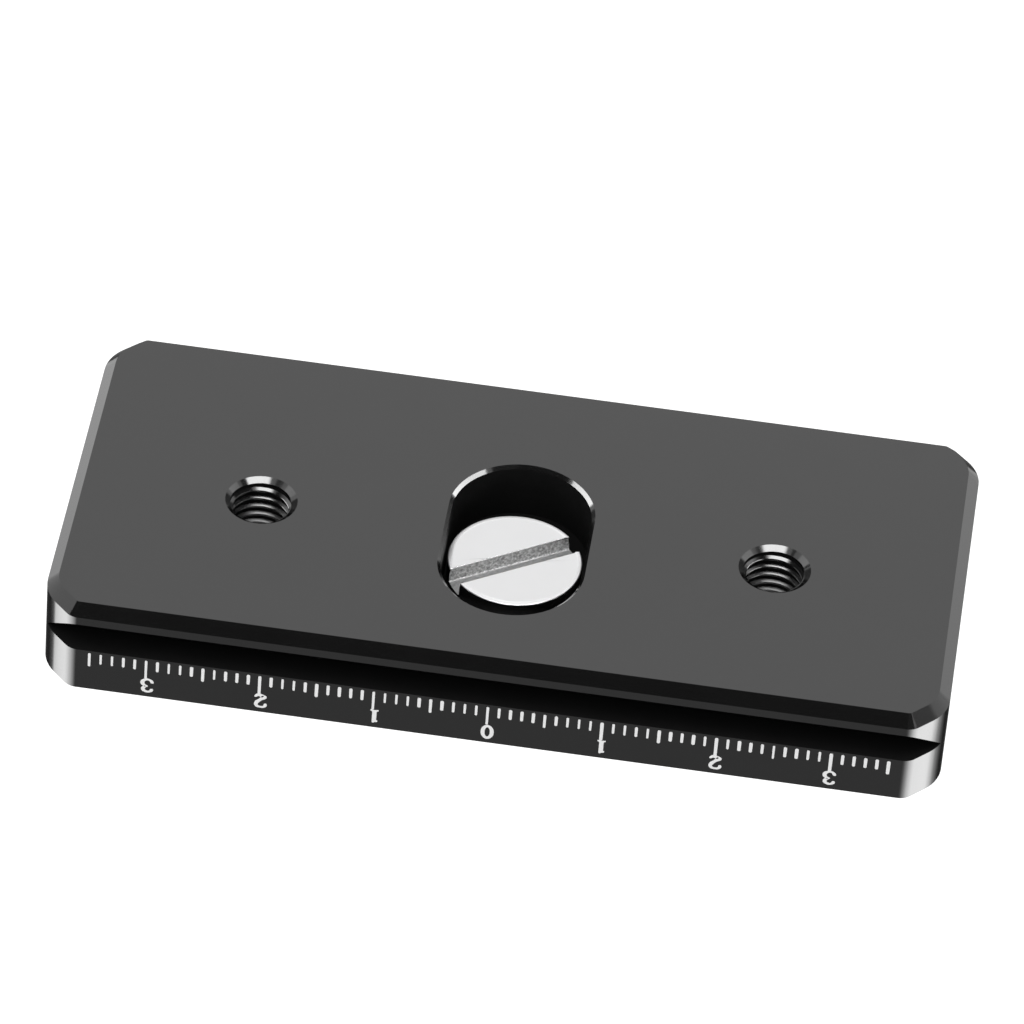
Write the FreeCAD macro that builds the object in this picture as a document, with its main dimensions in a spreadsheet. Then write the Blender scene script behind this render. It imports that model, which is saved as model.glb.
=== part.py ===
"""Quick release plate for a tripod head: a dovetail plate with a captive camera screw.

Millimetres. The plate lies foot up: +X runs along its length, -Y is the side with the scale,
+Z is the outward normal of the foot face. The origin is the centre of the foot face, so every
depth is measured down from it and the camera face lies one plate height below.
"""
import math
import os

import FreeCAD
import Part
import Sketcher

doc = FreeCAD.newDocument("quick_release_plate")

# How near a length or height has to be to count as equal, and the least volume a cut removes
SAME = 1e-4
LEAST_VOLUME = 1e-6


# Driving sizes, one row of the sheet each: name, value in mm (or degrees), what it is
SIZES = [
    ("plate_length", 79.1, "plate, end to end"),
    ("plate_width", 38.0, "plate and dovetail foot, side to side"),
    ("plate_height", 9.2, "camera face to foot face"),
    ("corner_cut", 2.8, "leg of the 45 degree cut at each corner, in plan"),
    ("corner_blend_end", 4.2, "radius where a corner cut meets an end"),
    ("corner_blend_side", 1.5, "radius where a corner cut meets a long side"),
    ("foot_chamfer", 1.0, "chamfer round the foot face"),
    ("camera_edge_break", 0.1, "broken edge round the camera face"),
    ("foot_strip", 0.8, "upright strip between foot chamfer and flank"),
    ("platform_height", 4.5, "thickness of the platform under the camera"),
    ("flank_angle", 45.0, "slope of the dovetail flank"),
    ("head_travel", 7.2, "how far the screw slides across the plate"),
    ("slot_offset", 2.25, "middle of the screw slot, towards the scale side"),
    ("recess_depth", 5.5, "foot face to the ledge under the screw head"),
    ("recess_break", 0.3, "broken edge round the head recess"),
    ("head_clearance", 0.25, "screw head to the recess wall"),
    ("shaft_clearance", 0.125, "screw shaft to the wall of the narrow slot"),
    ("seat_gap", 0.05, "screw head to its ledge"),
    ("hole_spacing", 45.6, "between the two threaded holes"),
    ("hole_offset", 1.6, "line of the threaded holes, towards the scale side"),
    ("hole_bore", 5.55, "bore of the threaded holes"),
    ("hole_mouth", 6.4, "countersunk mouth of the threaded holes"),
    ("hole_mouth_angle", 110.0, "countersink, included angle, in degrees"),
    ("head_diameter", 11.9, "screw head"),
    ("head_height", 3.0, "screw head"),
    ("head_round", 0.4, "rounded rim of the screw head"),
    ("driver_slot_width", 2.0, "slot for a coin or a blade"),
    ("driver_slot_depth", 1.45, "slot for a coin or a blade"),
    ("driver_slot_angle", 33.0, "slot against the plate's length, in degrees"),
    ("thread_diameter", 6.35, "quarter inch camera thread, over the crests"),
    ("thread_reach", 5.3, "screw tip beyond the camera face"),
    ("tip_chamfer", 0.8, "lead-in at the screw tip"),
    ("clip_thickness", 0.7, "retaining ring"),
    ("clip_diameter", 11.3, "retaining ring, outside"),
    ("clip_groove_diameter", 5.0, "bottom of the ring's groove in the screw"),
    ("clip_fit", 0.04, "ring to the bottom of its groove"),
    ("clip_play", 0.05, "ring to the sides of its groove and to its ledge"),
    ("clip_mouth", 4.4, "open side of the ring, narrower than the groove"),
    ("clip_band", 1.75, "radial width of the ring's outer band"),
    ("clip_prong_angle", 36.0, "width of the prong opposite the mouth, in degrees"),
    ("clip_window_angle", 86.0, "each window between two prongs, in degrees"),
    ("clip_side_clearance", 0.25, "ring to the wall of its recess"),
    ("clip_recess_depth", 1.4, "camera face to the ledge above the ring"),
    ("grip_length", 64.0, "grip strip, end to end"),
    ("grip_width", 4.0, "grip strip"),
    ("grip_thickness", 1.2, "grip strip"),
    ("grip_stand", 0.3, "grip strip above the camera face"),
    ("grip_inset", 4.2, "middle of a grip strip, in from the plate's side"),
    ("grip_fit", 0.05, "grip strip to the wall of its groove"),
    ("grip_round", 0.25, "softened upper edge of a grip strip"),
    ("tick_pitch", 1.0, "scale, one tick a millimetre"),
    ("scale_end_margin", 1.0, "corner cut to the first tick, at least"),
    ("tick_width", 0.28, "engraved tick"),
    ("tick_depth", 0.1, "engraved tick"),
    ("tick_margin", 0.25, "top of the ticks below the platform's upper edge"),
    ("tick_short", 1.15, "tick at each millimetre"),
    ("tick_middle", 1.55, "tick at each half centimetre"),
    ("tick_long", 2.1, "tick at each centimetre"),
]

sheet = doc.addObject("Spreadsheet::Sheet", "sizes")
for row, (name, value, meaning) in enumerate(SIZES, start=1):
    sheet.set("A%d" % row, meaning)
    sheet.set("B%d" % row, str(value))
    sheet.setAlias("B%d" % row, name)
doc.recompute()


def size(name):
    """The value of one driving size."""
    return float(sheet.get(name))


# Formulas that several features share, written for the expression engine
SLOT_Y = "-sizes.slot_offset"
HALF_TRAVEL = "sizes.head_travel / 2"
HEAD_RECESS_RADIUS = "(sizes.head_diameter / 2 + sizes.head_clearance)"
SHAFT_SLOT_RADIUS = "(sizes.thread_diameter / 2 + sizes.shaft_clearance)"
CLIP_RECESS_RADIUS = "(sizes.clip_diameter / 2 + sizes.clip_side_clearance)"
LEDGE = "(sizes.plate_height - sizes.recess_depth - sizes.clip_recess_depth)"
FLANK_TOP = "(sizes.foot_chamfer + sizes.foot_strip)"
PLATFORM_TOP = "(sizes.plate_height - sizes.platform_height)"
FLANK_RUN = "((%s - %s) / tan(sizes.flank_angle * 1deg))" % (PLATFORM_TOP, FLANK_TOP)
GRIP_LINE = "(sizes.plate_width / 2 - sizes.grip_inset)"
TICK_TOP = "(%s + sizes.tick_margin)" % PLATFORM_TOP
HALF_CENTIMETRE = "(5 * sizes.tick_pitch)"
CENTIMETRE = "(10 * sizes.tick_pitch)"
SCALE_ROOM = "(sizes.plate_length / 2 - sizes.corner_cut - sizes.scale_end_margin)"
SCALE_REACH = "(floor(%s / %s) * %s)" % (SCALE_ROOM, HALF_CENTIMETRE, HALF_CENTIMETRE)
LAST_CENTIMETRE = "(floor(%s / %s) * %s)" % (SCALE_REACH, CENTIMETRE, CENTIMETRE)


def worked_out(formula):
    """The value of a formula now, used as the first guess of a bound dimension."""
    value = sheet.evalExpression(formula)
    return float(getattr(value, "Value", value))


def new_body(label):
    body = doc.addObject("PartDesign::Body", label)
    body.Label = label
    return body


def new_sketch(body, name, plane="XY_Plane", lift=None, turn=None):
    """A sketch on one of the body's own planes, lifted along its normal and turned about it."""
    sketch = body.newObject("Sketcher::SketchObject", name)
    origin_plane = [f for f in body.Origin.OriginFeatures if f.Role == plane][0]
    sketch.AttachmentSupport = [(origin_plane, "")]
    sketch.MapMode = "FlatFace"
    if turn:
        sketch.AttachmentOffset = FreeCAD.Placement(
            FreeCAD.Vector(0, 0, 0), FreeCAD.Rotation(FreeCAD.Vector(0, 0, 1), worked_out(turn)))
        sketch.setExpression("AttachmentOffset.Rotation.Angle", turn)
    if lift:
        sketch.setExpression("AttachmentOffset.Base.z", lift)
    return sketch


def bind(sketch, kind, formula, *where):
    """A dimension of the sketch that follows a formula of the sheet."""
    index = sketch.addConstraint(Sketcher.Constraint(kind, *where, worked_out(formula)))
    sketch.setExpression("Constraints[%d]" % index, formula)


def pin(sketch, geometry, end, x, y):
    """Holds one point of the sketch at formulas x and y; "0" puts it on the axis."""
    if x == "0":
        sketch.addConstraint(Sketcher.Constraint("PointOnObject", geometry, end, -2))
    else:
        bind(sketch, "DistanceX", x, -1, 1, geometry, end)
    if y == "0":
        sketch.addConstraint(Sketcher.Constraint("PointOnObject", geometry, end, -1))
    else:
        bind(sketch, "DistanceY", y, -1, 1, geometry, end)


def polygon(sketch, corners):
    """A closed outline of straight lines whose corners follow pairs of formulas."""
    points = [FreeCAD.Vector(worked_out(x), worked_out(y), 0) for x, y in corners]
    first = len(sketch.Geometry)
    for i, start in enumerate(points):
        stop = points[(i + 1) % len(points)]
        sketch.addGeometry(Part.LineSegment(start, stop))
    for i, (x, y) in enumerate(corners):
        before = first + (i - 1) % len(corners)
        sketch.addConstraint(Sketcher.Constraint("Coincident", before, 2, first + i, 1))
        pin(sketch, first + i, 1, x, y)


def circle(sketch, x, y, radius):
    centre = FreeCAD.Vector(worked_out(x), worked_out(y), 0)
    up = FreeCAD.Vector(0, 0, 1)
    index = sketch.addGeometry(Part.Circle(centre, up, worked_out(radius)))
    pin(sketch, index, 3, x, y)
    bind(sketch, "Radius", radius, index)


def obround(sketch, x, y, reach, radius, along="y"):
    """A slot outline: two half circles whose centres lie `reach` either side of (x, y)."""
    up = FreeCAD.Vector(0, 0, 1)
    cx, cy, half, r = worked_out(x), worked_out(y), worked_out(reach), worked_out(radius)
    quarter = math.pi / 2
    if along == "y":
        ends = [((cx, cy + half), 0, 2 * quarter, x, "%s + %s" % (y, reach)),
                ((cx, cy - half), 2 * quarter, 4 * quarter, x, "%s - %s" % (y, reach))]
    else:
        ends = [((cx + half, cy), -quarter, quarter, "%s + %s" % (x, reach), y),
                ((cx - half, cy), quarter, 3 * quarter, "%s - %s" % (x, reach), y)]
    first = len(sketch.Geometry)
    for (px, py), start, stop, _, _ in ends:
        whole = Part.Circle(FreeCAD.Vector(px, py, 0), up, r)
        sketch.addGeometry(Part.ArcOfCircle(whole, start, stop))
    arcs = [sketch.Geometry[first], sketch.Geometry[first + 1]]
    sketch.addGeometry(Part.LineSegment(arcs[0].EndPoint, arcs[1].StartPoint))
    sketch.addGeometry(Part.LineSegment(arcs[1].EndPoint, arcs[0].StartPoint))
    joins = [(first, 2, first + 2, 1), (first + 2, 2, first + 1, 1),
             (first + 1, 2, first + 3, 1), (first + 3, 2, first, 1)]
    for join in joins:
        sketch.addConstraint(Sketcher.Constraint("Tangent", *join))
    for i, (_, _, _, end_x, end_y) in enumerate(ends):
        pin(sketch, first + i, 3, end_x, end_y)
    bind(sketch, "Radius", radius, first)


def pad(body, sketch, length, down=False):
    feature = body.newObject("PartDesign::Pad", "Pad")
    feature.Profile = sketch
    feature.Reversed = down
    feature.setExpression("Length", length)
    doc.recompute()
    return feature


def must_be_less(body, before, feature):
    """Stops the build where a feature that should remove material has removed none."""
    if not body.Shape.Volume < before - LEAST_VOLUME:
        raise RuntimeError("%s of %s removed nothing" % (feature.Name, body.Label))


def cut(body, sketch, depth=None, reverse=False, both_ways=False):
    """A pocket to a depth, or right through where no depth is given; it has to remove material."""
    before = body.Shape.Volume
    feature = body.newObject("PartDesign::Pocket", "Pocket")
    feature.Profile = sketch
    feature.Reversed = reverse
    feature.Midplane = both_ways
    if depth is None:
        feature.Type = "ThroughAll"
    else:
        feature.setExpression("Length", depth)
    doc.recompute()
    must_be_less(body, before, feature)
    return feature


def edge_names(shape, wanted):
    """Names of the edges for which wanted(edge) is true."""
    return ["Edge%d" % i for i, edge in enumerate(shape.Edges, start=1) if wanted(edge)]


def dress(body, kind, wanted, formula):
    """A fillet or chamfer on the edges picked by wanted, its size bound to a formula."""
    base = body.Tip
    names = edge_names(base.Shape, wanted)
    feature = body.newObject("PartDesign::" + kind, kind)
    feature.Base = (base, names)
    feature.setExpression("Radius" if kind == "Fillet" else "Size", formula)
    doc.recompute()
    return feature


def at_height(edge, z):
    """Whether a whole edge lies in the plane at height z."""
    box = edge.BoundBox
    return abs(box.ZMin - z) < SAME and abs(box.ZMax - z) < SAME


def is_upright(edge, height, distance_out, distance):
    """Whether a full-height edge lies at a distance from a middle plane of the plate."""
    box = edge.BoundBox
    return abs(box.ZLength - height) < SAME and abs(distance_out(box.Center) - distance) < SAME


def repeat(body, original, sketch, length, count):
    """Copies of a feature along the sketch's horizontal axis."""
    before = body.Shape.Volume
    pattern = body.newObject("PartDesign::LinearPattern", "LinearPattern")
    pattern.Originals = [original]
    pattern.Direction = (sketch, ["H_Axis"])
    pattern.setExpression("Length", length)
    pattern.setExpression("Occurrences", count)
    body.Tip = pattern
    doc.recompute()
    must_be_less(body, before, pattern)


def plate_blank(body):
    """The block with its cut and blended corners and its broken edges."""
    half_length = "sizes.plate_length / 2"
    half_width = "sizes.plate_width / 2"
    short_length = "(sizes.plate_length / 2 - sizes.corner_cut)"
    short_width = "(sizes.plate_width / 2 - sizes.corner_cut)"
    outline = new_sketch(body, "Outline")
    polygon(outline, [
        (half_length, "-" + short_width), (half_length, short_width),
        (short_length, half_width), ("-" + short_length, half_width),
        ("-" + half_length, short_width), ("-" + half_length, "-" + short_width),
        ("-" + short_length, "-" + half_width), (short_length, "-" + half_width)])
    pad(body, outline, "sizes.plate_height", down=True)
    height = size("plate_height")
    end = size("plate_length") / 2
    side = size("plate_width") / 2
    dress(body, "Fillet", lambda edge: is_upright(edge, height, lambda place: abs(place.x), end),
          "sizes.corner_blend_end")
    dress(body, "Fillet", lambda edge: is_upright(edge, height, lambda place: abs(place.y), side),
          "sizes.corner_blend_side")
    dress(body, "Chamfer", lambda edge: at_height(edge, 0), "sizes.foot_chamfer")
    dress(body, "Chamfer", lambda edge: at_height(edge, -height), "sizes.camera_edge_break")


def dovetail_grooves(body):
    """The two grooves along the sides, which leave the foot's sloping flanks."""
    for name, side in (("GrooveFront", "-"), ("GrooveBack", "")):
        groove = new_sketch(body, name, "YZ_Plane")
        edge = "sizes.plate_width / 2"
        bottom = "%s - %s" % (edge, FLANK_RUN)
        clear = "%s + sizes.plate_height" % edge
        polygon(groove, [
            ("%s(%s)" % (side, edge), "-" + FLANK_TOP), ("%s(%s)" % (side, clear), "-" + FLANK_TOP),
            ("%s(%s)" % (side, clear), "-" + PLATFORM_TOP),
            ("%s(%s)" % (side, bottom), "-" + PLATFORM_TOP)])
        cut(body, groove, "2 * sizes.plate_length", both_ways=True)


def screw_slot(body):
    """The wide recess for the head, the narrow slot for the shaft and the ring's recess."""
    recess = new_sketch(body, "HeadRecess")
    obround(recess, "0", SLOT_Y, HALF_TRAVEL, HEAD_RECESS_RADIUS)
    cut(body, recess, "sizes.recess_depth")
    middle = FreeCAD.Vector(0, worked_out(SLOT_Y), 0)
    reach = worked_out(HEAD_RECESS_RADIUS + " + " + HALF_TRAVEL)
    dress(body, "Chamfer",
          lambda edge: at_height(edge, 0) and (edge.CenterOfMass - middle).Length < reach + SAME,
          "sizes.recess_break")

    shaft_slot = new_sketch(body, "ShaftSlot")
    obround(shaft_slot, "0", SLOT_Y, HALF_TRAVEL, SHAFT_SLOT_RADIUS)
    cut(body, shaft_slot)

    ring_recess = new_sketch(body, "RingRecess", lift="-sizes.plate_height")
    obround(ring_recess, "0", SLOT_Y, HALF_TRAVEL, CLIP_RECESS_RADIUS)
    cut(body, ring_recess, "sizes.clip_recess_depth", reverse=True)


def threaded_holes(body):
    """Two through holes for a quarter inch thread, countersunk at the foot face."""
    centres = new_sketch(body, "HoleCentres")
    for side in ("-", ""):
        circle(centres, side + "sizes.hole_spacing / 2", "-sizes.hole_offset",
               "sizes.hole_bore / 2")
    before = body.Shape.Volume
    hole = body.newObject("PartDesign::Hole", "ThreadedHoles")
    hole.Profile = centres
    doc.recompute()
    hole.DepthType = "ThroughAll"
    hole.Threaded = False
    hole.setExpression("Diameter", "sizes.hole_bore")
    hole.HoleCutType = "Countersink"
    hole.setExpression("HoleCutDiameter", "sizes.hole_mouth")
    hole.setExpression("HoleCutCountersinkAngle", "sizes.hole_mouth_angle")
    doc.recompute()
    must_be_less(body, before, hole)

    bore = size("hole_bore") / 2
    height = size("plate_height")

    def rim(edge):
        curve = edge.Curve
        round_edge = hasattr(curve, "Radius") and abs(curve.Radius - bore) < SAME
        return round_edge and at_height(edge, -height)

    dress(body, "Chamfer", rim, "(sizes.hole_mouth - sizes.hole_bore) / 2")


def grip_grooves(body):
    """Two shallow grooves in the camera face that hold the grip strips."""
    grooves = new_sketch(body, "GripGrooves", lift="-sizes.plate_height")
    radius = "(sizes.grip_width / 2 + sizes.grip_fit)"
    reach = "(sizes.grip_length / 2 - sizes.grip_width / 2)"
    for side in ("-", ""):
        obround(grooves, "0", side + GRIP_LINE, reach, radius, along="x")
    cut(body, grooves, "sizes.grip_thickness - sizes.grip_stand", reverse=True)


def scale_ticks(body):
    """The engraved scale on the platform's front side, longer at each half and whole centimetre."""
    rows = [
        ("TickShort", SCALE_REACH, "sizes.tick_short", "sizes.tick_pitch"),
        ("TickMiddle", SCALE_REACH, "sizes.tick_middle", HALF_CENTIMETRE),
        ("TickLong", LAST_CENTIMETRE, "sizes.tick_long", CENTIMETRE),
    ]
    for name, reach, length, pitch in rows:
        tick = new_sketch(body, name, "XZ_Plane", lift="sizes.plate_width / 2")
        left = "-%s - sizes.tick_width / 2" % reach
        right = "-%s + sizes.tick_width / 2" % reach
        top = "-" + TICK_TOP
        low = "-%s - %s" % (TICK_TOP, length)
        polygon(tick, [(left, low), (right, low), (right, top), (left, top)])
        first = cut(body, tick, "sizes.tick_depth")
        repeat(body, first, tick, "2 * %s" % reach, "round(2 * %s / %s) + 1" % (reach, pitch))


def make_plate():
    body = new_body("plate")
    plate_blank(body)
    dovetail_grooves(body)
    screw_slot(body)
    threaded_holes(body)
    grip_grooves(body)
    scale_ticks(body)
    return body


# Heights on the screw, from the underside of its head
RING_TOP = "-(sizes.seat_gap + %s + sizes.clip_play)" % LEDGE
GROOVE_TOP = "(%s + sizes.clip_play)" % RING_TOP
GROOVE_LOW = "(%s - sizes.clip_thickness - sizes.clip_play)" % RING_TOP
SCREW_TIP = "-(sizes.plate_height + sizes.thread_reach - sizes.recess_depth + sizes.seat_gap)"


def make_screw():
    """The captive camera screw: slotted head, shaft with the ring's groove, threaded end."""
    body = new_body("camera_screw")
    head = "sizes.head_diameter / 2"
    shaft = "sizes.thread_diameter / 2"
    groove = "sizes.clip_groove_diameter / 2"
    profile = new_sketch(body, "Profile", "XZ_Plane")
    polygon(profile, [
        ("0", "sizes.head_height"), (head, "sizes.head_height"), (head, "0"), (shaft, "0"),
        (shaft, GROOVE_TOP), (groove, GROOVE_TOP), (groove, GROOVE_LOW), (shaft, GROOVE_LOW),
        (shaft, "%s + sizes.tip_chamfer" % SCREW_TIP),
        ("%s - sizes.tip_chamfer" % shaft, SCREW_TIP), ("0", SCREW_TIP)])
    turned = body.newObject("PartDesign::Revolution", "Turned")
    turned.Profile = profile
    turned.ReferenceAxis = (profile, ["V_Axis"])
    turned.Angle = 360.0
    doc.recompute()

    radius = size("head_diameter") / 2
    top = size("head_height")
    dress(body, "Fillet",
          lambda edge: at_height(edge, top) and abs(edge.BoundBox.XMax - radius) < SAME,
          "sizes.head_round")

    slot = new_sketch(body, "DriverSlot", lift="sizes.head_height", turn="sizes.driver_slot_angle")
    end = "sizes.head_diameter"
    side = "sizes.driver_slot_width / 2"
    polygon(slot, [("-" + end, "-" + side), (end, "-" + side), (end, side), ("-" + end, side)])
    cut(body, slot, "sizes.driver_slot_depth")
    body.setExpression("Placement.Base.y", SLOT_Y)
    body.setExpression("Placement.Base.z", "sizes.seat_gap - sizes.recess_depth")
    return body


def make_clip():
    """The retaining ring: a sprung band with three prongs that sit in the screw's groove."""
    body = new_body("screw_clip")
    bore = "(sizes.clip_groove_diameter / 2 + sizes.clip_fit)"
    outside = "sizes.clip_diameter / 2"
    ring = new_sketch(body, "Ring")
    circle(ring, "0", "0", outside)
    circle(ring, "0", "0", bore)
    pad(body, ring, "sizes.clip_thickness", down=True)

    mouth = new_sketch(body, "Mouth")
    side = "sizes.clip_mouth / 2"
    polygon(mouth, [("-" + side, "0"), (side, "0"), (side, "-sizes.clip_diameter"),
                    ("-" + side, "-sizes.clip_diameter")])
    cut(body, mouth)

    # one window beside the prong that lies opposite the mouth, mirrored to the other side
    window = new_sketch(body, "Window")
    start = math.radians(90 - size("clip_prong_angle") / 2 - size("clip_window_angle"))
    stop = math.radians(90 - size("clip_prong_angle") / 2)
    window_outer = outside + " - sizes.clip_band"
    # the inner arc only has to lie well inside the bore
    window_inner = "sizes.clip_groove_diameter / 4"
    outer, inner = worked_out(window_outer), worked_out(window_inner)
    up = FreeCAD.Vector(0, 0, 1)
    centre = FreeCAD.Vector(0, 0, 0)
    window.addGeometry(Part.ArcOfCircle(Part.Circle(centre, up, outer), start, stop))
    window.addGeometry(Part.ArcOfCircle(Part.Circle(centre, up, inner), start, stop))
    far, near = window.Geometry[0], window.Geometry[1]
    window.addGeometry(Part.LineSegment(near.StartPoint, far.StartPoint))
    window.addGeometry(Part.LineSegment(far.EndPoint, near.EndPoint))
    for arc in (0, 1):
        window.addConstraint(Sketcher.Constraint("Coincident", arc, 3, -1, 1))
    for join in ((2, 1, 1, 1), (2, 2, 0, 1), (3, 1, 0, 2), (3, 2, 1, 2)):
        window.addConstraint(Sketcher.Constraint("Coincident", *join))
    for line, end in ((2, 1), (3, 2)):
        window.addConstraint(Sketcher.Constraint("PointOnObject", -1, 1, line))
    bind(window, "Radius", window_outer, 0)
    bind(window, "Radius", window_inner, 1)
    bind(window, "Angle", "(90 - sizes.clip_prong_angle / 2) * 1deg", -1, 2, 3, 2)
    bind(window, "Angle", "sizes.clip_window_angle * 1deg", 2, 1, 3, 2)
    first = cut(body, window)
    before = body.Shape.Volume
    mirror = body.newObject("PartDesign::Mirrored", "Mirrored")
    mirror.Originals = [first]
    mirror.MirrorPlane = (window, ["V_Axis"])
    body.Tip = mirror
    doc.recompute()
    must_be_less(body, before, mirror)
    body.setExpression("Placement.Base.y", SLOT_Y)
    body.setExpression("Placement.Base.z", "sizes.clip_recess_depth - sizes.plate_height - sizes.clip_play")
    return body


def make_grip_strip(label, side):
    """A rubber strip glued in its groove; it stands a little above the camera face."""
    body = new_body(label)
    outline = new_sketch(body, "Outline")
    obround(outline, "0", "0", "(sizes.grip_length / 2 - sizes.grip_width / 2 - sizes.grip_fit)",
            "(sizes.grip_width / 2)", along="x")
    pad(body, outline, "sizes.grip_thickness", down=True)
    low = -size("grip_thickness")
    dress(body, "Fillet", lambda edge: at_height(edge, low), "sizes.grip_round")
    body.setExpression("Placement.Base.y", side + GRIP_LINE)
    body.setExpression("Placement.Base.z", "sizes.grip_thickness - sizes.grip_stand - sizes.plate_height")
    return body


pieces = [
    make_plate(),
    make_screw(),
    make_clip(),
    make_grip_strip("grip_strip_front", "-"),
    make_grip_strip("grip_strip_rear", ""),
]
doc.recompute()

for thing in doc.Objects:
    if "Invalid" in thing.State or "Error" in thing.State:
        raise RuntimeError("%s is %s" % (thing.Label, thing.State))
for piece in pieces:
    if piece.Shape.isNull() or not piece.Shape.isValid():
        raise RuntimeError("%s has no valid shape" % piece.Label)

os.makedirs("parts", exist_ok=True)
for piece in pieces:
    piece.Shape.exportStep("parts/%s.step" % piece.Label)
    box = piece.Shape.BoundBox
    print("%-18s solids %d  volume %9.2f  x %7.2f %7.2f  y %7.2f %7.2f  z %7.2f %7.2f" % (
        piece.Label, len(piece.Shape.Solids), piece.Shape.Volume,
        box.XMin, box.XMax, box.YMin, box.YMax, box.ZMin, box.ZMax))
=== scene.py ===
# %% [markdown]
# # A quick release plate, foot up
# The real object is a small block of black anodised aluminium that clamps into a tripod head by its
# dovetail foot. A captive steel screw slides in a cross slot, two threaded holes sit beside it, and a
# painted scale runs along the front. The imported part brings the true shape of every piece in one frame.
# Here each piece gets the detail and the finish that a close look asks for. First the part is loaded,
# and its box is kept, because nothing added later may reach outside it.

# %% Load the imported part
import math
import random

import bmesh
import bpy
from mathutils import Matrix, Vector


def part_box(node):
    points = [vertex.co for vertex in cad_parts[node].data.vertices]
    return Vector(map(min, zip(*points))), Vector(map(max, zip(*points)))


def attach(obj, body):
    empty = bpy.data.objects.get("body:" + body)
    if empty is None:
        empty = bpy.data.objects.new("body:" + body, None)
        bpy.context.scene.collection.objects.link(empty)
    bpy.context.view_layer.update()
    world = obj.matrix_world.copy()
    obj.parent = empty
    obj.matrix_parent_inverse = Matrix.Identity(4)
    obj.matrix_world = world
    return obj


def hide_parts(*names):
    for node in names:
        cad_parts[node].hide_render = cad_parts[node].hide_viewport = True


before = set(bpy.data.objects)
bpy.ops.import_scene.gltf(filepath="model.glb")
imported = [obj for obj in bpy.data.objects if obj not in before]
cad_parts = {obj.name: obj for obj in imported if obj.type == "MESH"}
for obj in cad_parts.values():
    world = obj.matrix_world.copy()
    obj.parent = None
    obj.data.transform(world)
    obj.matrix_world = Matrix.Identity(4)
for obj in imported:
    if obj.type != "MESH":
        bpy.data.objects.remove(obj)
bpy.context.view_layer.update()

MM = 0.001


def box_mm(node):
    """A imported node's lowest and highest corners, in mm."""
    return [Vector(corner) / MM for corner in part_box(node)]


for node in sorted(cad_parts):
    low, high = box_mm(node)
    print(node, [round(x, 2) for x in low], [round(x, 2) for x in high])
PLATE_LOW = box_mm("plate")[0]
SCREW_LOW, SCREW_HIGH = box_mm("camera_screw")
RING_LOW, RING_HIGH = box_mm("screw_clip")

# %% [markdown]
# ## Shader sums written as plain Python
# A finish is a graph of nodes. It could be wired by hand in the editor, but a long sum is hard to read
# there. This small class wraps one socket, so that a sum on values adds its own Math nodes.

# %% Values
class Value:
    """A socket that can be added to, multiplied and so on."""

    def __init__(self, finish, socket):
        self.finish = finish
        self.socket = socket

    def maths(self, operation, *terms):
        """One Math node, which works on its terms in their order."""
        return self.finish.node("ShaderNodeMath", dict(enumerate(terms)), operation=operation)

    def __add__(self, other):
        return self.maths("ADD", self, other)

    def __radd__(self, other):
        return self.maths("ADD", other, self)

    def __sub__(self, other):
        return self.maths("SUBTRACT", self, other)

    def __rsub__(self, other):
        return self.maths("SUBTRACT", other, self)

    def __mul__(self, other):
        return self.maths("MULTIPLY", self, other)

    def __rmul__(self, other):
        return self.maths("MULTIPLY", other, self)

    def __truediv__(self, other):
        return self.maths("DIVIDE", self, other)

    def __rtruediv__(self, other):
        return self.maths("DIVIDE", other, self)


# %% [markdown]
# Every other node comes from one method, which takes the node's type, its settings and what goes into
# its sockets. The rest are short names for the few nodes that each finish here needs: a place on the
# piece, soft noise, a value that runs between two limits, two colours blended, and relief.

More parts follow.
